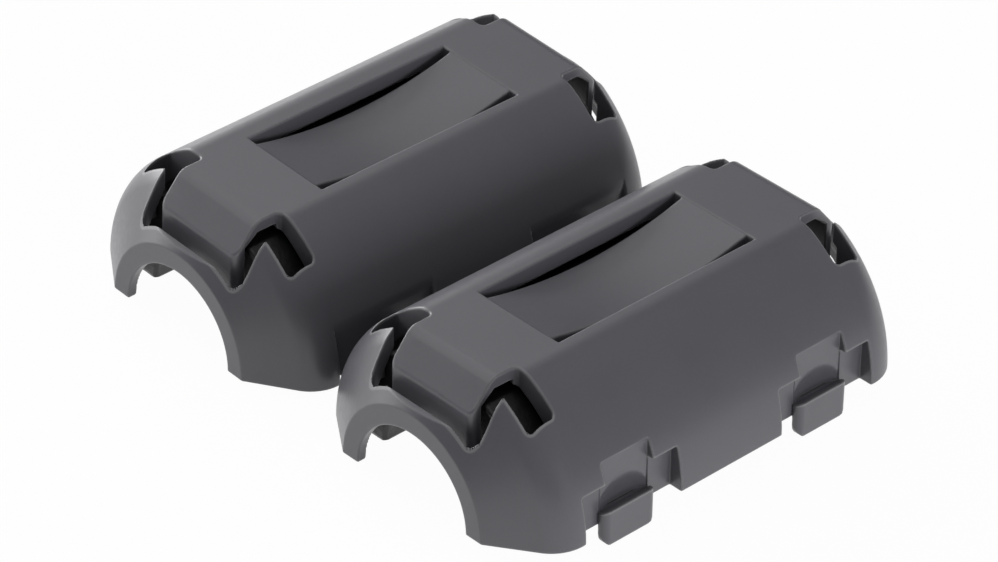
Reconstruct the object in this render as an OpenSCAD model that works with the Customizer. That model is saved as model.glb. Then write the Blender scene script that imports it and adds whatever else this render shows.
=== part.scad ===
// Clip-on ferrite bead: a two-half snap case with a split ferrite core, shown laid open.
// Units are millimetres. +X runs along the cable bore, +Z is up, and the origin is on the
// bore axis of the catch half, on its split plane. The hinge line runs along X.

/* [Case body] */
// Length of the case along the cable
case_length = 35; // [26:0.5:50]
// Radius of the rounded body measured from the bore axis
body_r = 10.77; // [9.8:0.01:16]
// Extra radius on the catch side of the catch half
catch_swell = 0.18; // [0:0.02:0.6]
// Height of the flat top above the split plane
top_height = 9.7; // [8.5:0.05:14]
// Radius that blends the rounded body into the flat top
crown_round = 2.4; // [0.5:0.1:4]
// Thickness of the rounded wall
wall = 1.57; // [0.8:0.01:2.5]
// Thickness of the straight wall beside the core
side_wall = 2.02; // [1.6:0.02:3]
// Thickness of the flat top
top_wall = 0.88; // [0.6:0.02:2]
// Gap left between the split plane and the case edge
split_gap = 0.03; // [0.02:0.01:0.3]

/* [Case ends] */
// Radius of the cable bore through the end arches
bore_r = 5; // [3:0.1:8]
// Outer radius of the flat rim around the bore
rim_r = 6.43; // [5.5:0.01:9]
// Slope of the conical end measured from the bore axis
cone_angle = 55; // [35:1:75]
// Radius of the rounded shoulder between cone and body
shoulder_r = 3; // [1:0.1:5]
// Thickness of the conical wall
cone_wall = 1; // [0.6:0.05:2]
// Thickness of the end arch along the bore
arch_wall = 0.68; // [0.4:0.02:2]
// Height where the end arch is cut flat
arch_top = 6.8; // [6:0.05:9]

/* [End windows] */
// Distance of the inner window edge from the case end
window_reach = 5.2; // [4:0.1:7]
// Distance of the outer window edge from the case end
window_margin = 3.08; // [2:0.02:4]
// Half width over the two windows
window_side = 7.36; // [5:0.02:9]
// Half width between the inner edges of the two teeth
tooth_side = 4.98; // [4:0.02:7]
// Corner radius at the inner end of the windows
window_round = 0.45; // [0.1:0.05:1]
// Corner radius at the outer end of the windows
window_round_out = 0.3; // [0.1:0.05:0.8]
// Corner radius of the slot behind the end arch
slot_round = 0.8; // [0.1:0.05:1]

/* [End tabs] */
// Half width of the tab
tab_side = 3.8; // [2.5:0.05:5]
// Radius of the upright front corners of the tab
tab_corner = 0.5; // [0.1:0.05:1]
// Distance of the bend in the tab from the case end
tab_bend_back = 3.3; // [2.5:0.1:4.5]
// Distance of the tab front face from the case end
tab_front_back = 1.57; // [1.2:0.01:2.5]
// Height of the lower edge of the sloping tab face
tab_low = 7.58; // [6:0.02:9]
// Thickness of the front wall of the tab
tab_wall = 0.83; // [0.5:0.01:1.5]
// Height of the lower edge of the front wall above the cable bore
tab_foot = 0.45; // [0.1:0.05:1.5]

/* [Spring plate] */
// Length of the opening around the spring plate
plate_length = 17.08; // [10:0.02:24]
// Width of the opening around the spring plate
plate_opening = 7.3; // [5:0.05:9]
// Width of the spring plate itself
plate_width = 5.9; // [4:0.05:8]
// Sag of the spring plate at its middle
plate_sag = 1.17; // [0.3:0.01:2]
// Thickness of the spring plate
plate_wall = 0.7; // [0.4:0.05:1.2]

/* [Latches] */
// Distance of each latch from the case middle
latch_x = 8.55; // [6:0.05:11]
// Width of the latch recess
recess_width = 8.14; // [5:0.02:9]
// Height of the latch recess above the split plane
recess_height = 3.38; // [2:0.02:5]
// Depth of the recess floor below the rounded body
recess_depth = 1.07; // [0.6:0.01:1.5]
// Width of the latch tongue
tongue_width = 4.1; // [2.5:0.05:6]
// Height of the tongue recess above the split plane
tongue_height = 4.9; // [3.5:0.05:6]
// Depth of the tongue face below the recess floor
tongue_step = 0.08; // [0.02:0.02:0.3]
// Width of the lip at the end of the tongue
lip_width = 4.4; // [3:0.05:6]
// Radius of the upright front edges of the lip
lip_edge_r = 0.5; // [0.1:0.05:0.6]
// Radius of the lower lip corners
lip_round = 0.95; // [0.3:0.05:1.5]
// Depth of the outer lip face below the rounded body
lip_inset = 0.35; // [0:0.05:0.5]
// Height of the lip top above the split plane
lip_top = 1.25; // [0.6:0.05:2]
// Drop of the lip below the split plane
lip_drop = 1.5; // [0.6:0.05:2]
// Depth of the finger groove cut into the tongue
groove_depth = 0.4; // [0.2:0.05:0.6]
// Upper edge of the finger groove above the split plane
groove_top = 1.95; // [1.3:0.05:2.5]
// Bottom of the finger groove above the split plane
groove_low = 0.8; // [0.3:0.05:1]
// Width of the hook nose inside the lip
nose_width = 2.4; // [1:0.1:3.5]
// How far the hook nose stands out of the lip
nose_reach = 0.38; // [0.2:0.02:0.6]
// Height of the hook nose
nose_height = 0.5; // [0.3:0.05:0.8]
// Distance of the hook nose from the lower lip edge
nose_back = 0.35; // [0.2:0.05:0.6]
// Free play around the hook nose in its pocket
pocket_play = 0.15; // [0.05:0.05:0.3]
// Free play between the latch and the catch half
latch_play = 0.06; // [0.03:0.01:0.2]

/* [Hinge] */
// Angle by which the open case lies past flat
open_tilt = 3.05; // [0:0.05:8]
// Distance of the fold line from the rounded body
fold_stand = 0.6; // [0.3:0.05:1.5]
// Inner end of each hinge recess from the case middle
hinge_in = 4.4; // [2:0.1:8]
// Outer end of each hinge recess from the case middle
hinge_out = 12.8; // [9:0.1:14]
// Depth of the hinge recess floor below the rounded body
hinge_depth = 0.79; // [0.4:0.01:1.2]
// Thickness of the hinge leaf
leaf_wall = 0.4; // [0.2:0.05:0.8]
// Clearance between a leaf end and the fold line
fold_gap = 0.03; // [0.02:0.01:0.1]
// Inset of the leaf from each end of its recess
leaf_inset = 0.7; // [0.2:0.1:2]

/* [Ferrite core] */
// Distance of the core from the case end at the -X end
core_back = 2.7; // [2.6:0.1:5]
// Free play of the core along the bore, all of it at the +X end
core_slack = 0.75; // [0.1:0.05:2]
// Bore radius of the ferrite core
core_bore_r = 5.5; // [4:0.05:9]
// Distance of the core mating face from the split plane
core_gap = 0.02; // [0.01:0.01:0.1]
// Side play between the core and the case
core_play = 0.1; // [0.02:0.02:0.4]

/* [Hidden] */
$fn = 96;
half_length = case_length / 2;
window_in = half_length - window_reach;
window_out = half_length - window_margin;
tab_bend = half_length - tab_bend_back;
tab_front = half_length - tab_front_back;
tab_end = bore_r + tab_foot;
eps = 0.01;
far = 40;
// the shoulder circle touches the cone and the body cylinder
tangent = shoulder_r * tan(cone_angle / 2);
cone_dx = tangent * cos(cone_angle);
cone_dr = tangent * sin(cone_angle);
// inside of the body and of the cone
room_r = body_r - wall;
room_side = body_r - side_wall;
room_top = top_height - top_wall;
arch_in = half_length - arch_wall;
inner_shift = cone_wall / sin(cone_angle);
inner_rim_r = rim_r - (inner_shift - arch_wall) * tan(cone_angle);
inner_end = arch_in - (room_r - inner_rim_r) / tan(cone_angle);
// bow of the spring plate
bow_r = (pow(plate_length / 2, 2) + pow(plate_sag, 2)) / (2 * plate_sag);
bow_z = top_height - plate_sag + bow_r;
// the core fills the room sideways and meets the spring plate at its flat top
core_r = room_side - core_play;
core_length = case_length - 2 * core_back - core_slack;
core_top = top_height - plate_sag - plate_wall;
// distances from the bore axis along Y
recess_floor = body_r - recess_depth;
lip_face = body_r - lip_inset;
lip_back = recess_floor + latch_play;
hinge_floor = body_r - hinge_depth;
hinge_y = body_r + fold_stand;
case_grey = [0.33, 0.33, 0.34];
core_grey = [0.16, 0.16, 0.17];

// ---- shapes shared by both halves ----

// Profile turned about the bore axis: body of radius r with coned, shouldered ends
module end_profile(r) {
    corner_x = half_length - (r - rim_r) / tan(cone_angle);
    difference() {
        polygon([[0, -half_length], [rim_r, -half_length], [r, -corner_x],
                 [r, corner_x], [rim_r, half_length], [0, half_length]]);
        for (s = [-1, 1]) difference() {
            polygon([[r - shoulder_r, s * (corner_x - tangent)], [r + 1, s * (corner_x - tangent)],
                     [r + 1, s * (corner_x + cone_dx)], [r - cone_dr, s * (corner_x + cone_dx)]]);
            translate([r - shoulder_r, s * (corner_x - tangent)]) circle(r = shoulder_r);
        }
    }
}

// Outside of the +Y side of a case: turned body, flat top and the blend between them
module outside_half(r) {
    blend_z = top_height - crown_round;
    blend_y = sqrt(pow(r - crown_round, 2) - blend_z * blend_z);
    difference() {
        rotate([0, 90, 0]) rotate_extrude($fn = 160) end_profile(r);
        translate([-far / 2, -far / 2, top_height]) cube(far);
        translate([-far / 2, -far / 2, split_gap - far]) cube(far);
        translate([-far / 2, -far, -far / 2]) cube(far);
        translate([-far / 2, 0, 0]) rotate([90, 0, 90]) linear_extrude(height = far) difference() {
            polygon([[blend_y, blend_z], [blend_y * 1.4, blend_z * 1.4], [blend_y, blend_z * 1.4]]);
            translate([blend_y, blend_z]) circle(r = crown_round, $fn = 120);
        }
    }
}

// Whole outside, with its own radius on the +Y side
module body_outside(plus_r) {
    outside_half(plus_r);
    mirror([0, 1, 0]) outside_half(body_r);
}

// Room inside the case, with flat side walls beside the core
module room() {
    intersection() {
        rotate([0, 90, 0]) rotate_extrude()
            polygon([[0, -arch_in], [inner_rim_r, -arch_in], [room_r, -inner_end],
                     [room_r, inner_end], [inner_rim_r, arch_in], [0, arch_in]]);
        translate([-half_length, -room_side, -1]) cube([case_length, 2 * room_side, room_top + 1]);
    }
    translate([-half_length - 1, 0, 0]) rotate([0, 90, 0]) cylinder(r = bore_r, h = case_length + 2);
}

// Sliver that rounds a corner at the origin of a shape lying in +X +Y
module corner_sliver(r) {
    difference() {
        translate([-eps, -eps]) square(r + eps);
        translate([r, r]) circle(r = r, $fn = 40);
    }
}

// Plan of one end window, given for the +X +Y corner
module window_plan() {
    difference() {
        translate([window_in, tab_side])
            square([window_out - window_in, window_side - tab_side]);
        translate([window_in, tab_side]) corner_sliver(window_round);
        translate([window_in, window_side]) mirror([0, 1]) corner_sliver(window_round);
        translate([window_out, window_side]) mirror([1, 0]) mirror([0, 1])
            corner_sliver(window_round_out);
    }
}

// Plan of the slot behind the end arch, given for the +X +Y corner
module slot_plan() {
    difference() {
        translate([window_out - eps, -1]) square([arch_in - window_out + eps, tooth_side + 1]);
        translate([arch_in, tooth_side]) mirror([1, 0]) mirror([0, 1]) corner_sliver(slot_round);
    }
}

// Everything taken out of the top at the two ends
module end_cuts() {
    for (sx = [0, 1]) mirror([sx, 0, 0]) {
        for (sy = [0, 1]) mirror([0, sy, 0]) {
            translate([0, 0, -1]) linear_extrude(height = far) window_plan();
            translate([0, 0, -1]) linear_extrude(height = far) slot_plan();
        }
        translate([tab_bend, -tab_side - eps, -1])
            cube([window_out - tab_bend + eps, 2 * tab_side + 2 * eps, far]);
        translate([window_in + 0.2, -tab_side - eps, -1])
            cube([tab_bend - window_in, 2 * tab_side + 2 * eps, room_top + 1]);
        translate([arch_in - eps, -far / 2, arch_top]) cube([far, far, far]);
    }
}

// Tab at one end: top sheet, sloping face and front wall that ends above the bore
module end_tab() {
    intersection() {
        rotate([90, 0, 0]) translate([0, 0, -far / 2]) linear_extrude(height = far)
            polygon([[window_in - 1, top_height], [tab_bend, top_height], [tab_front, tab_low],
                     [tab_front, tab_end], [tab_front - tab_wall, tab_end],
                     [tab_front - tab_wall, tab_low + 0.4], [tab_bend - 0.15, room_top],
                     [window_in - 1, room_top]]);
        linear_extrude(height = far) difference() {
            translate([window_in - 1, -tab_side])
                square([tab_front - window_in + 1, 2 * tab_side]);
            for (s = [0, 1]) mirror([0, s]) translate([tab_front, tab_side])
                mirror([1, 0]) mirror([0, 1]) corner_sliver(tab_corner);
        }
    }
}

// Spring plate bowed down between its two ends
module spring_plate() {
    intersection() {
        translate([0, plate_width / 2, bow_z]) rotate([90, 0, 0]) difference() {
            cylinder(r = bow_r + plate_wall, h = plate_width, $fn = 480);
            translate([0, 0, -1]) cylinder(r = bow_r, h = plate_width + 2, $fn = 480);
        }
        translate([-plate_length / 2 - 0.3, -plate_width, room_top - 3])
            cube([plate_length + 0.6, 2 * plate_width, 3 + top_wall]);
    }
}

// Case half without hinge or latch features
module plain_case(plus_r) {
    difference() {
        body_outside(plus_r);
        room();
        end_cuts();
        translate([-plate_length / 2, -plate_opening / 2, room_top - 1])
            cube([plate_length, plate_opening, 5]);
    }
    end_tab();
    mirror([1, 0, 0]) end_tab();
    spring_plate();
}

// Hinge recesses on the +Y side
module hinge_cuts() {
    for (sx = [0, 1]) mirror([sx, 0, 0])
        translate([hinge_in, hinge_floor, -1]) cube([hinge_out - hinge_in, far, far]);
}

// Hinge leaves reaching from the +Y side to the fold line
module hinge_leaves() {
    for (sx = [0, 1]) mirror([sx, 0, 0])
        translate([hinge_in + leaf_inset, hinge_floor - 0.4, split_gap])
            cube([hinge_out - hinge_in - 2 * leaf_inset,
                  hinge_y - fold_gap - hinge_floor + 0.4, leaf_wall]);
}

// Finger groove above the lip, as wide as w
module groove(w) {
    translate([-w / 2, 0, 0]) rotate([90, 0, 90]) linear_extrude(height = w) polygon([
        [recess_floor + eps, groove_top], [recess_floor - groove_depth * 0.35, groove_top - 0.25],
        [recess_floor - groove_depth * 0.75, groove_top - 0.6],
        [recess_floor - groove_depth, groove_low + 0.15],
        [recess_floor - groove_depth, groove_low],
        [lip_face + eps, lip_top], [lip_face + eps, groove_top]]);
}

// Latch recesses on the +Y side, each with the flat face and the groove of its tongue
module latch_cuts() {
    for (s = [-1, 1]) translate([s * latch_x, 0, 0]) {
        translate([-recess_width / 2, recess_floor, -1])
            cube([recess_width, far, recess_height + 1]);
        translate([-tongue_width / 2, recess_floor - tongue_step, -1])
            cube([tongue_width, far, tongue_height + 1]);
        groove(tongue_width);
    }
}

// Lip at the free end of a tongue, with rounded lower corners and upright front edges
module lip() {
    w = lip_width / 2;
    r = lip_round;
    e = lip_edge_r;
    intersection() {
        translate([0, lip_face, 0]) rotate([90, 0, 0]) linear_extrude(height = lip_face - lip_back)
            union() {
                translate([-w, r - lip_drop]) square([2 * w, lip_top + lip_drop - r]);
                translate([r - w, -lip_drop]) square([2 * (w - r), r + eps]);
                for (s = [-1, 1]) translate([s * (w - r), r - lip_drop]) circle(r = r);
            }
        translate([0, 0, -5]) linear_extrude(height = 10) union() {
            translate([-w, lip_back]) square([2 * w, lip_face - e - lip_back]);
            translate([e - w, lip_back]) square([2 * (w - e), lip_face - lip_back]);
            for (s = [-1, 1]) translate([s * (w - e), lip_face - e]) circle(r = e, $fn = 48);
        }
    }
}

// Lower end of a tongue: the lip with its root in the wall and its hook nose
module tongue() {
    difference() {
        union() {
            lip();
            translate([-tongue_width / 2, recess_floor - 0.3, split_gap])
                cube([tongue_width, 0.6, groove_top - 1]);
            translate([-nose_width / 2, lip_back - nose_reach, nose_back - lip_drop])
                cube([nose_width, nose_reach + 0.1, nose_height]);
        }
        groove(2 * lip_width);
    }
}

// Catch recesses on the +Y side, with a pocket for each hook nose
module catch_cuts() {
    for (s = [-1, 1]) translate([s * latch_x, 0, 0]) {
        translate([-recess_width / 2, recess_floor, -1])
            cube([recess_width, far, recess_height + 1]);
        translate([-nose_width / 2 - pocket_play, recess_floor - nose_reach - 0.1,
                   lip_drop - nose_back - nose_height - pocket_play])
            cube([nose_width + 2 * pocket_play, far, nose_height + 2 * pocket_play]);
    }
}

// Half core: a ring with a flat top, sitting just off the split plane
module half_core() {
    intersection() {
        rotate([0, 90, 0]) translate([0, 0, core_back - half_length]) difference() {
            cylinder(r = core_r, h = core_length);
            translate([0, 0, -1]) cylinder(r = core_bore_r, h = core_length + 2);
        }
        translate([-core_length, -far / 2, core_gap]) cube([2 * core_length, far, core_top - core_gap]);
    }
}

// Places a half so that it lies open beyond the fold line
module laid_open() {
    translate([0, -hinge_y, 0]) rotate([-open_tilt, 0, 0]) translate([0, -hinge_y, 0]) children();
}

// ---- the four nodes ----

// Half of the case that stays put, with catch pockets on its far side
module catch_case() {
    color(case_grey) difference() {
        union() {
            difference() {
                plain_case(body_r + catch_swell);
                mirror([0, 1, 0]) hinge_cuts();
            }
            mirror([0, 1, 0]) hinge_leaves();
        }
        catch_cuts();
    }
}

module catch_core() {
    color(core_grey) half_core();
}

// Half of the case that swings, with latch tongues on its far side
module latch_case() {
    color(case_grey) laid_open() {
        difference() {
            union() {
                difference() {
                    plain_case(body_r);
                    hinge_cuts();
                }
                hinge_leaves();
            }
            mirror([0, 1, 0]) latch_cuts();
        }
        mirror([0, 1, 0]) for (s = [-1, 1]) translate([s * latch_x, 0, 0]) tongue();
    }
}

module latch_core() {
    color(core_grey) laid_open() half_core();
}

catch_case();
catch_core();
latch_case();
latch_core();
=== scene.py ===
# Clip-on ferrite bead, lying open: two moulded case halves on a film hinge, each with
# half of a sintered ferrite core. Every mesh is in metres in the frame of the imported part.
import math

import bmesh
import bpy
import numpy as np
from mathutils import Matrix, Vector


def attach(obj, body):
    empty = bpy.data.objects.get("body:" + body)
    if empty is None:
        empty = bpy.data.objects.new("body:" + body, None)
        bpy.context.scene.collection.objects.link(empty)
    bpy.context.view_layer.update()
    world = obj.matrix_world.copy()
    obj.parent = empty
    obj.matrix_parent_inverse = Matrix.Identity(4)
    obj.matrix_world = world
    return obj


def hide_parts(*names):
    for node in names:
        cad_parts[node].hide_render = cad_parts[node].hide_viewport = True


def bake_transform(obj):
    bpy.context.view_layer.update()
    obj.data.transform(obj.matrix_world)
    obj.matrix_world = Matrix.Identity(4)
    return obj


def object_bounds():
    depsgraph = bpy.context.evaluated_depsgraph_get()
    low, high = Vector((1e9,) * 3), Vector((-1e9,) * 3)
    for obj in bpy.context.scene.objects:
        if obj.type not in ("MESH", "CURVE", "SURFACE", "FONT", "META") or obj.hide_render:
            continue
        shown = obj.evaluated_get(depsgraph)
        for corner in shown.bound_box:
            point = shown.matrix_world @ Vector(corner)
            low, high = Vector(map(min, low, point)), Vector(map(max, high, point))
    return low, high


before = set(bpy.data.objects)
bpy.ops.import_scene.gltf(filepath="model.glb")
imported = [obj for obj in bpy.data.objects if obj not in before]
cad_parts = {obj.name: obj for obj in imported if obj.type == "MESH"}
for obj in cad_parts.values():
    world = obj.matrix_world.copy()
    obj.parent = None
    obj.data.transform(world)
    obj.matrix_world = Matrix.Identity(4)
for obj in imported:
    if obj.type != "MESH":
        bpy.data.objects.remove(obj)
cad_box = [list(corner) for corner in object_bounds()]

# ---------------------------------------------------------------- camera
# A long lens, standing off the near left corner and looking down on the open case.
turn, rise, roll = math.radians(-44.626), math.radians(36.589), math.radians(3.343)
aim, stand_off = Vector((-0.002844, -0.01454, 0.005925)), 0.317716
away = Vector((math.sin(turn) * math.cos(rise), -math.cos(turn) * math.cos(rise), math.sin(rise)))
level = (-away).cross(Vector((0, 0, 1))).normalized()
upward = level.cross(-away)
right = level * math.cos(roll) + upward * math.sin(roll)
up = -level * math.sin(roll) + upward * math.cos(roll)
lens = bpy.data.cameras.new("camera")
lens.sensor_width = 36
lens.lens = 178.5687
lens.clip_start, lens.clip_end = 0.01, 10
camera = bpy.data.objects.new("camera", lens)
camera.matrix_world = Matrix.Translation(aim + away * stand_off) @ Matrix(
    (right, up, away)).transposed().to_4x4()
bpy.context.scene.collection.objects.link(camera)
bpy.context.scene.camera = camera

# ---------------------------------------------------------------- floor and light
# A white table in a dim white room. Softboxes behind, on the left and overhead give the
# edges and tops their sheen, and a small front fill, not mirrored in the plastic, lights
# the near walls. The table shows white, also in what mirrors it, and keeps the shadow.
bpy.context.scene.view_settings.view_transform = "Standard"
table_size, table_glow, room_light, lamp_distance = 6.0, 0.97, 0.15, 0.6
table_z = cad_box[0][2]
mesh = bpy.data.meshes.new("table")
corner = table_size / 2
mesh.from_pydata([(-corner, -corner, table_z), (corner, -corner, table_z),
                  (corner, corner, table_z), (-corner, corner, table_z)], [], [(0, 1, 2, 3)])
table = bpy.data.objects.new("table", mesh)
bpy.context.scene.collection.objects.link(table)

table_paint = bpy.data.materials.new("white table")
table_paint.use_nodes = True
nodes, links = table_paint.node_tree.nodes, table_paint.node_tree.links
nodes.clear()
out = nodes.new("ShaderNodeOutputMaterial")
matt = nodes.new("ShaderNodeBsdfDiffuse")
matt.inputs["Color"].default_value = (0.92, 0.92, 0.92, 1)
glow = nodes.new("ShaderNodeEmission")
ray = nodes.new("ShaderNodeLightPath")
seen = ray.outputs["Is Camera Ray"]
for kind in ("Is Glossy Ray", "Is Transmission Ray"):
    either = nodes.new("ShaderNodeMath")
    either.operation = "MAXIMUM"
    links.new(seen, either.inputs[0])
    links.new(ray.outputs[kind], either.inputs[1])
    seen = either.outputs[0]
share = nodes.new("ShaderNodeMath")
share.operation = "MULTIPLY"
share.inputs[1].default_value = table_glow
mix = nodes.new("ShaderNodeMixShader")
links.new(seen, share.inputs[0])
links.new(share.outputs[0], mix.inputs[0])
links.new(matt.outputs[0], mix.inputs[1])
links.new(glow.outputs[0], mix.inputs[2])
links.new(mix.outputs[0], out.inputs[0])
mesh.materials.append(table_paint)

world = bpy.data.worlds.new("room")
bpy.context.scene.world = world
world.use_nodes = True
room = world.node_tree.nodes["Background"]
room.inputs["Color"].default_value = (1, 1, 1, 1)
room.inputs["Strength"].default_value = room_light


def hang_lamp(name, azimuth, elevation, width, height, power):
    """A softbox aimed at the case; angles in degrees, azimuth from the front, power in watts."""
    a, e = math.radians(azimuth), math.radians(elevation)
    back = Vector((math.sin(a) * math.cos(e), -math.cos(a) * math.cos(e), math.sin(e)))
    data = bpy.data.lights.new(name, "AREA")
    data.shape = "RECTANGLE"
    data.size, data.size_y = width, height
    data.energy = power
    lamp = bpy.data.objects.new(name, data)
    lamp.matrix_world = Matrix.Translation(aim + back * lamp_distance) @ back.to_track_quat(
        "Z", "Y").to_matrix().to_4x4()
    bpy.context.scene.collection.objects.link(lamp)
    return lamp


hang_lamp("back softbox", 180, 10, 0.6, 0.3, 2.7)
hang_lamp("high back softbox", 180, 38, 0.9, 0.6, 1.35)
hang_lamp("left softbox", -160, 10, 0.5, 0.3, 0.66)
hang_lamp("top softbox", 0, 90, 0.6, 0.6, 0.85)
hang_lamp("front fill", 8, 10, 0.3, 0.3, 1.85).visible_glossy = False

# ---------------------------------------------------------------- case halves
# Two shells injection moulded in satin grey plastic, with rounded sides, coned ends, a
# bowed spring plate and end tabs. One has two latch tongues, the other the catch pockets.
# Sizes are in millimetres in the frame of one half: x along the bore, z up from the seam,
# and y towards the hinge.
half_length, body_r, catch_swell, top_height, seam = 17.5, 10.77, 0.18, 9.7, 0.03
edge, fine_edge, seam_edge, overlap = 0.12, 0.06, 0.15, 0.3
rim_r, rim_round, shoulder_r, crown_round, crown_cos = 6.43, 0.25, 3.0, 2.4, 0.9
cone_sin, cone_cos = math.sin(math.radians(55)), math.cos(math.radians(55))
bore_r, arch_wall, arch_top, arch_edge = 5.0, 0.68, 6.8, 0.08
room_r, room_side, room_top, room_rim, room_round, room_corner = 9.2, 8.75, 8.82, 5.658, 1.0, 0.3
window_in, window_out, window_side, window_round, window_edge = 12.3, 14.42, 7.36, 0.42, 0.14
tooth_side, slot_start, slot_round, slot_wall, strip_end = 4.98, 13.2, 0.9, 0.72, 13.5
soft_until, tab_room_low = 13.0, 6.0
web_sides, web_low, web_high, web_wall, web_shift = (5.39, 7.6), 5.2, 8.0, 1.2, 0.42
tab_side, tab_bend, tab_front, tab_low, tab_end, tab_wall, tab_corner = (
    3.8, 14.2, 15.93, 7.58, 5.45, 0.83, 0.5)
bend_round, bend_back, bend_drop = 1.1, 0.15, 0.4
plate_half, plate_side, plate_opening = 8.54, 2.95, 3.65
plate_sag, plate_step, plate_wall = 1.17, 0.07, 0.7
recess_side, recess_height, recess_floor = 4.07, 3.27, 9.7
latch_x, tongue_side, tongue_height, tongue_face = 8.55, 2.03, 4.66, 9.62
scoop_r, scoop_out, scoop_up, scoop_bulge, scoop_fillet = 1.8, 11.1, 0.95, 0.3, 0.8
ledge_out, ledge_up, ledge_slope, ledge_round = 9.3, 0.8, math.radians(21.9), 0.5
lip_side, lip_back, lip_face, lip_top, lip_drop, lip_round = 2.2, 9.76, 10.42, 1.25, 1.5, 0.95
lip_corner, lip_foot, lip_heel, lip_edge = 0.5, 0.3, 0.2, 0.08
nose_side, nose_reach, nose_low, nose_top = 1.2, 0.38, -1.15, -0.65
pocket_low, pocket_high, pocket_depth, pocket_play = 0.5, 1.3, 0.1, 0.15
hinge_in, hinge_out, hinge_floor = 4.4, 12.8, 9.98
fold_y, open_tilt = 11.37, math.radians(3.05)


def meet(a, b, rounding, cosine=0.0):
    """Distance to what lies in both shapes, with the edge between them rounded."""
    u, v = a + rounding, b + rounding
    arc = np.sqrt(np.maximum(u * u + v * v - 2 * cosine * u * v, 0)
                  / (1 - cosine * cosine)) - rounding
    return np.where((u > cosine * v) & (v > cosine * u), arc, np.maximum(a, b))


def cut(a, b, rounding):
    """Distance to shape a with shape b taken out and the new edge rounded."""
    return meet(a, -b, rounding)


def join(a, b, fillet):
    """Distance to two shapes joined, with the corner between them filled."""
    return -meet(-a, -b, fillet)


def slab(v, low, high):
    """Distance to what lies between two levels."""
    return np.maximum(low - v, v - high)


def shell_outside(ax, y, z, r, swell):
    """Round side, coned ends and flat crown; swell widens the side away from the hinge."""
    side = r - body_r - np.where(y < 0, swell, 0.0)
    cone = (ax - half_length) * cone_sin + (r - rim_r) * cone_cos
    ends = meet(side, cone, shoulder_r, cone_cos)
    ends = meet(ends, ax - half_length, rim_round, cone_sin)
    return meet(ends, z - top_height, crown_round, crown_cos)


def shell_room(ax, ay, z, r):
    """Room for the core, which follows the outside, and the bore through both ends."""
    cone = (ax - half_length + arch_wall) * cone_sin + (r - room_rim) * cone_cos
    space = meet(r - room_r, cone, room_round, cone_cos)
    space = np.maximum(space, ax - half_length + arch_wall)
    space = meet(space, ay - room_side, room_corner)
    space = meet(space, z - room_top, room_corner)
    return np.minimum(space, r - bore_r)


def end_openings(ax, ay):
    """Windows and slot around the end tab, seen in plan."""
    reach = (window_out - window_in) / 2
    qx = np.abs(ax - window_in - reach) - reach + window_round
    qy = ay - window_side + window_round
    windows = (np.hypot(np.maximum(qx, 0), np.maximum(qy, 0))
               + np.minimum(np.maximum(qx, qy), 0) - window_round)
    slot = np.maximum(meet(ax - half_length + slot_wall, ay - tooth_side, slot_round),
                      slot_start - ax)
    strip = np.maximum(ay - tab_side, ax - strip_end)
    return meet(join(windows, slot, 0.1), -strip, window_round)


def end_tab(ax, ay, z):
    """Top sheet that bends down in front of the core and ends in an upright wall."""
    run, fall = tab_front - tab_bend, top_height - tab_low
    norm = math.hypot(run, fall)
    ramp = ((ax - tab_bend) * fall + (z - top_height) * run) / norm
    skin = meet(z - top_height, ramp, bend_round, run / norm)
    skin = meet(skin, meet(ay - tab_side, ax - tab_front, tab_corner), edge)
    reach = tab_front - tab_wall - tab_bend + bend_back
    drop = room_top - tab_low - bend_drop
    inner = ((ax - tab_bend + bend_back) * drop + (z - room_top) * reach) / math.hypot(reach, drop)
    inner = np.maximum(np.maximum(z - room_top, ax - tab_front + tab_wall), inner)
    sheet = meet(cut(skin, inner, arch_edge), tab_end - np.hypot(ay, z), edge)
    return np.maximum(sheet, window_in - 1 - ax)


def spring_plate(x, ax, ay, z):
    """Thin leaf bowed down on to the core between its two ends."""
    sag = plate_sag - plate_step
    bow = (plate_half ** 2 + sag ** 2) / (2 * sag)
    leaf = np.abs(np.hypot(x, z - top_height + plate_sag - bow) - bow - plate_wall / 2)
    leaf = meet(leaf - plate_wall / 2, ay - plate_side, edge)
    return np.maximum(np.maximum(leaf, ax - plate_half - overlap), z - top_height + plate_step)


def finger_groove(off, w, z):
    """Scoop above the lip, deepest in the middle, with a floor that slopes over the lip."""
    bulge = scoop_bulge * (off / tongue_side) ** 4
    scoop = np.hypot(w - scoop_out - bulge, z - scoop_up) - scoop_r
    ledge = (w - ledge_out) * math.sin(ledge_slope) - (z - ledge_up) * math.cos(ledge_slope)
    return meet(scoop, ledge, ledge_round)


def latch_lip(off, w, z):
    """Lip that hooks over the other half, with its root in the wall and its nose."""
    lip = np.maximum(meet(off - lip_side, w - lip_face, lip_corner),
                     meet(off - lip_side, -lip_drop - z, lip_round))
    lip = np.maximum(lip, meet(-lip_drop - z, w - lip_face, lip_foot))
    lip = np.maximum(lip, meet(z - lip_top, w - lip_face, lip_edge))
    lip = np.maximum(lip, meet(-lip_drop - z, lip_back - w, lip_heel))
    root = np.maximum(slab(w, recess_floor - overlap, recess_floor + overlap),
                      np.maximum(off - tongue_side, slab(z, seam, scoop_up)))
    nose = np.maximum(slab(w, lip_back - nose_reach, lip_back + 0.1),
                      np.maximum(off - nose_side, slab(z, nose_low, nose_top)))
    return cut(np.minimum(np.minimum(root, nose), lip), finger_groove(0.0, w, z), fine_edge)


def end_webs(x, ax, y, z, r):
    """Webs that close the end windows from behind; the near ones stand clear of the core."""
    start = np.where(x > 0, window_out, window_out + web_shift)
    web = np.maximum(slab(ax, start, start + web_wall), slab(np.abs(y), *web_sides))
    web = np.maximum(web, slab(z, web_low, web_high))
    return np.maximum(web, shell_outside(ax, y, z, r, 0.0) + overlap)


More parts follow.
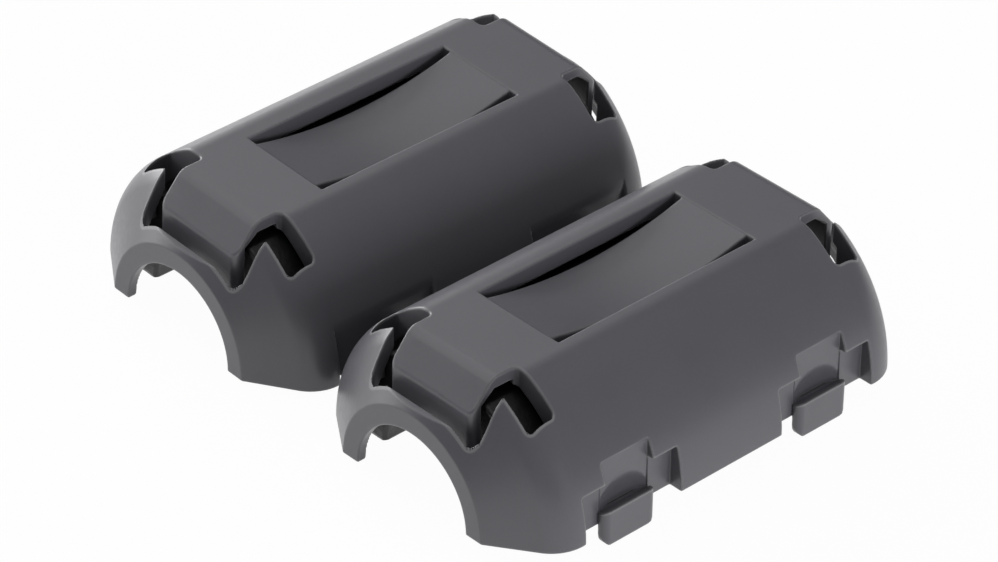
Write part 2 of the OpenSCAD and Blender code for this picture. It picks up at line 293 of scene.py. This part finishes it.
def tongue_cut(off, w, z):
    """What is cut away for a tongue: a panel sunk just below the recess, with its scoop."""
    fillet = np.maximum(scoop_fillet * (1 - 0.9 * (off / tongue_side) ** 2), 0.05)
    scooped = join(tongue_face - w, finger_groove(off, w, z), fillet)
    return meet(scooped, meet(off - tongue_side, z - tongue_height, seam_edge), fine_edge)


def case_half(x, y, z, latch):
    """Distance to one case half; y points to the hinge."""
    ax, ay, w = np.abs(x), np.abs(y), -y
    r = np.hypot(y, z)
    d = cut(shell_outside(ax, y, z, r, 0.0 if latch else catch_swell),
            shell_room(ax, ay, z, r), edge)
    d = meet(d, seam - z, seam_edge)
    window_rounding = np.interp(ax, [soft_until, tab_bend], [window_edge, fine_edge])
    d = cut(d, end_openings(ax, ay), window_rounding)
    d = cut(d, np.maximum(half_length - arch_wall - 0.01 - ax, arch_top - z), arch_edge)
    d = np.minimum(d, end_webs(x, ax, y, z, r))
    under_tab = np.maximum(slab(ax, window_in + 0.2, tab_bend + 0.2),
                           np.maximum(ay - tab_side, slab(z, tab_room_low, room_top)))
    d = np.minimum(cut(d, under_tab, 0.05), end_tab(ax, ay, z))
    d = cut(d, np.maximum(np.maximum(ax - plate_half, ay - plate_opening),
                          room_top - 1 - z), edge)
    d = np.minimum(d, spring_plate(x, ax, ay, z))
    d = cut(d, np.maximum(hinge_floor - y, slab(ax, hinge_in, hinge_out)), seam_edge)
    off = np.abs(ax - latch_x)
    recess = meet(recess_floor - w, meet(off - recess_side, z - recess_height, edge), fine_edge)
    if latch:
        d = cut(d, np.minimum(recess, tongue_cut(off, w, z)), edge)
        return np.minimum(d, latch_lip(off, w, z))
    pocket = np.maximum(recess_floor - nose_reach - pocket_depth - w,
                        np.maximum(off - nose_side - pocket_play, slab(z, pocket_low, pocket_high)))
    return cut(cut(d, recess, edge), pocket, 0.05)


def slope(distance, p, step):
    """Unit outward direction of a distance at points p."""
    g = np.empty_like(p)
    for k in range(3):
        shift = np.zeros(3)
        shift[k] = step
        g[:, k] = distance(*(p + shift).T) - distance(*(p - shift).T)
    length = np.linalg.norm(g, axis=1, keepdims=True)
    return g / np.maximum(length, 1e-12), length / (2 * step)


def settle(distance, p, rounds=3):
    """Moves points straight on to the surface of a distance."""
    for _ in range(rounds):
        g, rate = slope(distance, p, 0.005)
        d = distance(*p.T)[:, None] / np.maximum(rate, 0.5)
        p = p - g * np.clip(d, -0.05, 0.05)
    return p


def skin_of(distance, low, high, pitch):
    """Closed quad skin of a distance, one point for each cell that it crosses."""
    axes = [np.arange(a, b + pitch, pitch) for a, b in zip(low, high)]
    gx, gy, gz = np.meshgrid(*axes, indexing="ij", sparse=True)
    f = distance(gx, gy, gz).astype(np.float32)
    n = np.array(f.shape)
    inside = f < 0
    count = np.zeros(n - 1, np.int8)
    for i in (0, 1):
        for j in (0, 1):
            for k in (0, 1):
                count += inside[i:n[0] - 1 + i, j:n[1] - 1 + j, k:n[2] - 1 + k]
    cells = np.argwhere((count > 0) & (count < 8))
    number = np.full(n - 1, -1, np.int64)
    number[tuple(cells.T)] = np.arange(len(cells))
    total = np.zeros((len(cells), 3))
    hits = np.zeros(len(cells))
    for axis in range(3):
        others = [a for a in range(3) if a != axis]
        for s in (0, 1):
            for t in (0, 1):
                start = cells.copy()
                start[:, others[0]] += s
                start[:, others[1]] += t
                end = start.copy()
                end[:, axis] += 1
                fa, fb = f[tuple(start.T)], f[tuple(end.T)]
                crossed = (fa < 0) != (fb < 0)
                part = np.where(crossed, fa / np.where(crossed, fa - fb, 1), 0)
                point = start.astype(float)
                point[:, axis] += part
                total += point * crossed[:, None]
                hits += crossed
    points = np.array(low) + total / hits[:, None] * pitch
    quads = []
    for axis in range(3):
        a, b = [(1, 2), (2, 0), (0, 1)][axis]
        first = [slice(1, -1)] * 3
        first[axis] = slice(0, -1)
        second = [slice(1, -1)] * 3
        second[axis] = slice(1, None)
        ia, ib = inside[tuple(first)], inside[tuple(second)]
        where = np.argwhere(ia != ib)
        where_full = where + 1
        where_full[:, axis] = where[:, axis]
        da, db = np.zeros(3, int), np.zeros(3, int)
        da[a], db[b] = 1, 1
        ring = [number[tuple((where_full - da - db).T)], number[tuple((where_full - db).T)],
                number[tuple(where_full.T)], number[tuple((where_full - da).T)]]
        face = np.stack(ring, 1)
        leaving = ia[tuple(where.T)]
        quads.append(np.where(leaving[:, None], face, face[:, ::-1]))
    return points, np.concatenate(quads)


def points_of(mesh):
    """Places of a mesh's vertices, one row each."""
    co = np.empty(len(mesh.vertices) * 3)
    mesh.vertices.foreach_get("co", co)
    return co.reshape(-1, 3)


def mould(name, distance, low, high, pitch, most, place):
    """Solid piece from a distance in millimetres, thinned to at most so many triangles.

    Points that have run together are joined at the end, and slivers between them dropped.
    """
    points, quads = skin_of(distance, low, high, pitch)
    points = settle(distance, points)
    mesh = bpy.data.meshes.new(name)
    mesh.from_pydata(points.tolist(), [], quads.tolist())
    piece = bpy.data.objects.new(name, mesh)
    bpy.context.scene.collection.objects.link(piece)
    thin = piece.modifiers.new("thin", "DECIMATE")
    thin.ratio = min(1.0, most / (2 * len(quads)))
    tree = bpy.context.evaluated_depsgraph_get()
    done = bpy.data.meshes.new_from_object(piece.evaluated_get(tree))
    piece.modifiers.clear()
    piece.data = done
    done.name = name
    co = settle(distance, points_of(done), 2)
    done.vertices.foreach_set("co", co.ravel())
    clean = bmesh.new()
    clean.from_mesh(done)
    bmesh.ops.remove_doubles(clean, verts=clean.verts, dist=same_point)
    bmesh.ops.dissolve_degenerate(clean, edges=clean.edges, dist=same_point)
    clean.to_mesh(done)
    clean.free()
    co = points_of(done)
    normal, _ = slope(distance, co, 0.03)
    turned = place.to_3x3().normalized()
    spot = co @ np.array(place.to_3x3()).T + np.array(place.translation)
    done.vertices.foreach_set("co", spot.ravel())
    done.update()
    for face in done.polygons:
        face.use_smooth = True
    done.normals_split_custom_set_from_vertices((normal @ np.array(turned).T).tolist())
    return piece


millimetre = 0.001
mm = Matrix.Scale(millimetre, 4)
laid_open = (Matrix.Translation((0, -fold_y, 0)) @ Matrix.Rotation(-open_tilt, 4, "X")
             @ Matrix.Translation((0, -fold_y, 0)))
pitch, most_triangles, same_point = 0.1, 180000, 0.002
shell_low, shell_high = (-17.75, -11.2, -1.75), (17.75, 11.2, 9.95)
catch_shell = mould("catch_shell", lambda x, y, z: case_half(x, -y, z, False),
                    shell_low, shell_high, pitch, most_triangles, mm)
latch_shell = mould("latch_shell", lambda x, y, z: case_half(x, y, z, True),
                    shell_low, shell_high, pitch, most_triangles, mm @ laid_open)

# The plastic is slightly clouded, and has a painted highlight: its colour is paler along thin
# convex edges.
plastic = bpy.data.materials.new("satin grey case plastic")
plastic.use_nodes = True
nodes, links = plastic.node_tree.nodes, plastic.node_tree.links
shader = nodes["Principled BSDF"]
shader.inputs["IOR"].default_value = 1.6
spot = nodes.new("ShaderNodeTexCoord")


def grain(scale, detail, low, high):
    """Cloudy values between low and high, in the object's own coordinates."""
    noise = nodes.new("ShaderNodeTexNoise")
    noise.inputs["Scale"].default_value = scale
    noise.inputs["Detail"].default_value = detail
    span = nodes.new("ShaderNodeMapRange")
    span.inputs["From Min"].default_value = 0.3
    span.inputs["From Max"].default_value = 0.7
    span.inputs["To Min"].default_value = low
    span.inputs["To Max"].default_value = high
    links.new(spot.outputs["Object"], noise.inputs["Vector"])
    links.new(noise.outputs["Fac"], span.inputs["Value"])
    return span.outputs["Result"]


def tint(factor, dark, light):
    """Colour between two greys by a factor."""
    mix = nodes.new("ShaderNodeMix")
    mix.data_type = "RGBA"
    mix.inputs["A"].default_value = (*dark, 1)
    mix.inputs["B"].default_value = (*light, 1)
    links.new(factor, mix.inputs["Factor"])
    return mix.outputs["Result"]


def bump(height, distance, strength):
    """Fine relief on the shader in hand."""
    node = nodes.new("ShaderNodeBump")
    node.inputs["Distance"].default_value = distance
    node.inputs["Strength"].default_value = strength
    links.new(height, node.inputs["Height"])
    links.new(node.outputs["Normal"], shader.inputs["Normal"])


flow = nodes.new("ShaderNodeMath")
flow.operation = "MULTIPLY_ADD"
flow.inputs[1].default_value = 0.6
links.new(grain(140, 3, 0, 1), flow.inputs[0])
links.new(grain(5200, 2, 0, 0.4), flow.inputs[2])
# Painted highlight: an inward ambient occlusion finds thin convex edges, and the base colour is
# made paler there.
thin = nodes.new("ShaderNodeAmbientOcclusion")
thin.inside = True
thin.only_local = True
thin.samples = 8
thin.inputs["Distance"].default_value = 0.00022
edge_highlight_mask = nodes.new("ShaderNodeMapRange")
edge_highlight_mask.inputs["From Min"].default_value = 0.93
edge_highlight_mask.inputs["From Max"].default_value = 0.65
links.new(thin.outputs["AO"], edge_highlight_mask.inputs["Value"])
painted_edge_highlight = nodes.new("ShaderNodeMix")
painted_edge_highlight.data_type = "RGBA"
painted_edge_highlight.inputs["B"].default_value = (0.23, 0.229, 0.24, 1)
links.new(edge_highlight_mask.outputs["Result"], painted_edge_highlight.inputs["Factor"])
links.new(tint(flow.outputs[0], (0.109, 0.1065, 0.121), (0.121, 0.1185, 0.134)),
          painted_edge_highlight.inputs["A"])
links.new(painted_edge_highlight.outputs["Result"], shader.inputs["Base Color"])
links.new(grain(2600, 3, 0.3, 0.38), shader.inputs["Roughness"])
bump(grain(9000, 2, 0, 1), 0.000004, 0.35)
for piece, body, node in ((catch_shell, "catch_half", "catch_case"),
                          (latch_shell, "latch_half", "latch_case")):
    piece.data.materials.append(plastic)
    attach(piece, body)
    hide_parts(node)

# ---------------------------------------------------------------- film hinge
# Two thin moulded strips that join the halves and fold along a rolled neck when the case
# shuts. Each is one with both walls.
strap_length, strap_reach, strap_low, strap_high, strap_neck = 7.0, 1.8, 0.03, 0.43, 0.24
strap_roll, strap_pinch, strap_bend = 0.42, 0.035, 0.6
film = bpy.data.node_groups.new("film hinge", "GeometryNodeTree")
film.interface.new_socket("Geometry", in_out="OUTPUT", socket_type="NodeSocketGeometry")
sockets = {}
for name, value in (("Length", strap_length), ("Reach", strap_reach),
                    ("Thickness", strap_high - strap_low), ("Neck", strap_neck),
                    ("Spacing", hinge_in + hinge_out), ("Roll", strap_roll)):
    socket = film.interface.new_socket(name, in_out="INPUT", socket_type="NodeSocketFloat")
    sockets[name] = socket.identifier, value * millimetre
socket = film.interface.new_socket("Plastic", in_out="INPUT", socket_type="NodeSocketMaterial")
sockets["Plastic"] = socket.identifier, plastic
given = film.nodes.new("NodeGroupInput")
result = film.nodes.new("NodeGroupOutput")


def maths(operation, *terms):
    """Result of a sum in the film hinge's tree; a term is a socket or a number."""
    node = film.nodes.new("ShaderNodeMath")
    node.operation = operation
    for place, term in zip(node.inputs, terms):
        if isinstance(term, (int, float)):
            place.default_value = term
        else:
            film.links.new(term, place)
    return node.outputs[0]


def vector_of(x, y, z):
    """Vector node in the film hinge's tree, from sockets or numbers."""
    node = film.nodes.new("ShaderNodeCombineXYZ")
    for place, term in zip(node.inputs, (x, y, z)):
        if isinstance(term, (int, float)):
            place.default_value = term
        else:
            film.links.new(term, place)
    return node.outputs[0]


sheet = film.nodes.new("GeometryNodeMeshCube")
sheet.inputs["Vertices X"].default_value = 36
sheet.inputs["Vertices Y"].default_value = 61
sheet.inputs["Vertices Z"].default_value = 5
given_of = given.outputs
film.links.new(vector_of(given_of["Length"], maths("MULTIPLY", given_of["Reach"], 2.0),
                         given_of["Thickness"]), sheet.inputs["Size"])
place = film.nodes.new("GeometryNodeInputPosition")
parts = film.nodes.new("ShaderNodeSeparateXYZ")
film.links.new(place.outputs[0], parts.inputs[0])
share_up = maths("ADD", maths("DIVIDE", parts.outputs["Z"], given_of["Thickness"]), 0.5)
across = maths("DIVIDE", parts.outputs["Y"], given_of["Roll"])
dip = maths("EXPONENT", maths("MULTIPLY", maths("MULTIPLY", across, across), -1.0))
loss = maths("MULTIPLY", maths("SUBTRACT", given_of["Thickness"], given_of["Neck"]), dip)
height = maths("MULTIPLY", share_up, maths("SUBTRACT", given_of["Thickness"], loss))
pinch = maths("MULTIPLY", dip, -strap_pinch)
side = maths("MULTIPLY", parts.outputs["X"], maths("ADD", pinch, 1.0))
shaped = film.nodes.new("GeometryNodeSetPosition")
film.links.new(sheet.outputs["Mesh"], shaped.inputs["Geometry"])
film.links.new(vector_of(side, parts.outputs["Y"], height), shaped.inputs["Position"])
pair = film.nodes.new("GeometryNodeMeshLine")
pair.inputs["Count"].default_value = 2
film.links.new(vector_of(maths("MULTIPLY", given_of["Spacing"], -0.5), 0.0, 0.0),
               pair.inputs["Start Location"])
film.links.new(vector_of(given_of["Spacing"], 0.0, 0.0), pair.inputs["Offset"])
copies = film.nodes.new("GeometryNodeInstanceOnPoints")
film.links.new(pair.outputs["Mesh"], copies.inputs["Points"])
film.links.new(shaped.outputs["Geometry"], copies.inputs["Instance"])
real = film.nodes.new("GeometryNodeRealizeInstances")
film.links.new(copies.outputs["Instances"], real.inputs["Geometry"])
paint = film.nodes.new("GeometryNodeSetMaterial")
film.links.new(real.outputs["Geometry"], paint.inputs["Geometry"])
film.links.new(given_of["Plastic"], paint.inputs["Material"])
film.links.new(paint.outputs["Geometry"], result.inputs[0])

maker = bpy.data.objects.new("film_hinge_maker", bpy.data.meshes.new("film_hinge_maker"))
bpy.context.scene.collection.objects.link(maker)
recipe = maker.modifiers.new("film hinge", "NODES")
recipe.node_group = film
for identifier, value in sockets.values():
    recipe[identifier] = value
mesh = bpy.data.meshes.new_from_object(maker.evaluated_get(
    bpy.context.evaluated_depsgraph_get()))
bpy.data.objects.remove(maker)
mesh.materials.clear()
mesh.materials.append(plastic)
mesh.transform(Matrix.Translation((0, -fold_y * millimetre, strap_low * millimetre)))
for face in mesh.polygons:
    face.use_smooth = True
mesh.set_sharp_from_angle(angle=math.radians(40))
straps = bpy.data.objects.new("film_hinge_straps", mesh)
bpy.context.scene.collection.objects.link(straps)
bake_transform(straps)

# ---------------------------------------------------------------- ferrite cores
# Half rings of pressed and sintered ferrite, flat on top where the spring plate bears,
# with corners broken in tumbling. They lie loose in the case, slid to the near end.
core_r, core_bore, core_top, core_foot, core_start, core_end = 8.65, 5.5, 7.83, 0.02, -14.8, 14.05
core_crown, core_lip, core_corner, core_edge, core_pitch = 0.3, 0.15, 0.28, 0.1, 0.2


def core_half(x, y, z):
    """Distance to one core half, in the frame of a case half."""
    r = np.hypot(y, z)
    ring = meet(meet(r - core_r, z - core_top, core_crown, crown_cos), core_bore - r, core_lip)
    ends = slab(x, core_start, core_end)
    return meet(meet(ring, ends, core_corner), core_foot - z, core_edge)


core_low, core_high = (-15.0, -8.9, -0.2), (14.3, 8.9, 8.1)
core_triangles = 40000
catch_ferrite = mould("catch_ferrite", core_half, core_low, core_high, core_pitch,
                      core_triangles, mm)
latch_ferrite = mould("latch_ferrite", core_half, core_low, core_high, core_pitch,
                      core_triangles, mm @ laid_open)

ferrite = bpy.data.materials.new("sintered ferrite")
ferrite.use_nodes = True
nodes, links = ferrite.node_tree.nodes, ferrite.node_tree.links
shader = nodes["Principled BSDF"]
shader.inputs["IOR"].default_value = 1.55
spot = nodes.new("ShaderNodeTexCoord")
links.new(tint(grain(2200, 5, 0, 1), (0.005, 0.005, 0.0055), (0.012, 0.0115, 0.012)),
          shader.inputs["Base Color"])
links.new(grain(1500, 3, 0.34, 0.5), shader.inputs["Roughness"])
bump(grain(4200, 4, 0, 1), 0.00002, 0.5)
for piece, body, node in ((catch_ferrite, "catch_half", "catch_core"),
                          (latch_ferrite, "latch_half", "latch_core")):
    piece.data.materials.append(ferrite)
    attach(piece, body)
    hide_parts(node)
